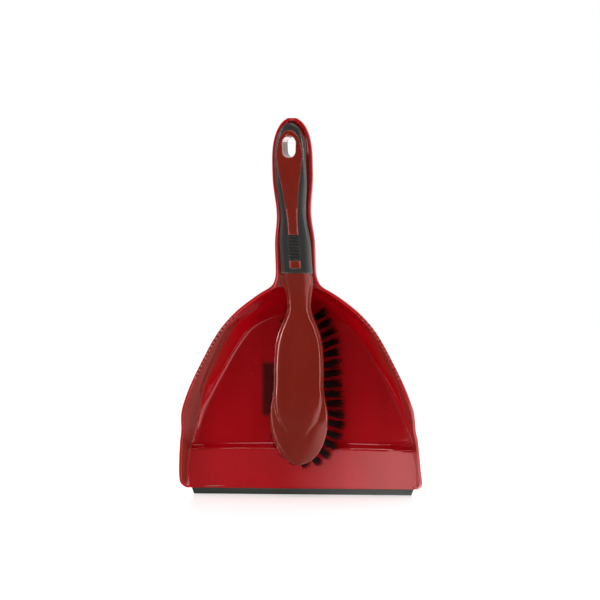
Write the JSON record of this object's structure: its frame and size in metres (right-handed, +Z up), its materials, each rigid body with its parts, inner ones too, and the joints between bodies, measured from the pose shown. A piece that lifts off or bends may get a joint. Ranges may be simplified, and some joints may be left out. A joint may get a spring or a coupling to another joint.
{
  "type": "dustpan and brush",
  "caption": "Upright dustpan with raised side walls, comb-edged rim, rubber sweeping lip and channel handle, with a soft-gripped hand brush nested in the handle.",
  "frame": {"origin": "middle of the rubber lip's lower edge, in the plane of the scoop's flat underside", "axes": "+Z up from the lip along the length to the end of the handle, -Y out of the open side of the scoop, X across the width"},
  "size_m": [0.2164, 0.0843, 0.3315],
  "materials": {
    "pan_plastic": "glossy, slightly see-through moulded polypropylene",
    "lip_rubber": "satin dark thermoplastic rubber",
    "label_film": "blank matt sticker film",
    "brush_plastic": "glossy moulded polypropylene",
    "grip_rubber": "satin soft-touch rubber",
    "bristles": "fine crimped synthetic filaments",
    "anchor_wire": "flattened wire"
  },
  "bodies": {
    "dustpan": {"dustpan_body": "pan_plastic", "rubber_lip": "lip_rubber", "underside_label": "label_film"},
    "brush": {"brush_body": "brush_plastic", "soft_grip": "grip_rubber", "edge_tufts_right": "bristles", "edge_tufts_left": "bristles", "toe_tufts": "bristles", "inner_tufts": "bristles", "tuft_anchors": "anchor_wire"}
  },
  "joints": [
    {"name": "brush_lift", "type": "slide", "parent": "dustpan", "child": "brush", "axis": [0, -1, 0], "range_m": [0, 0.12]}
  ]
}
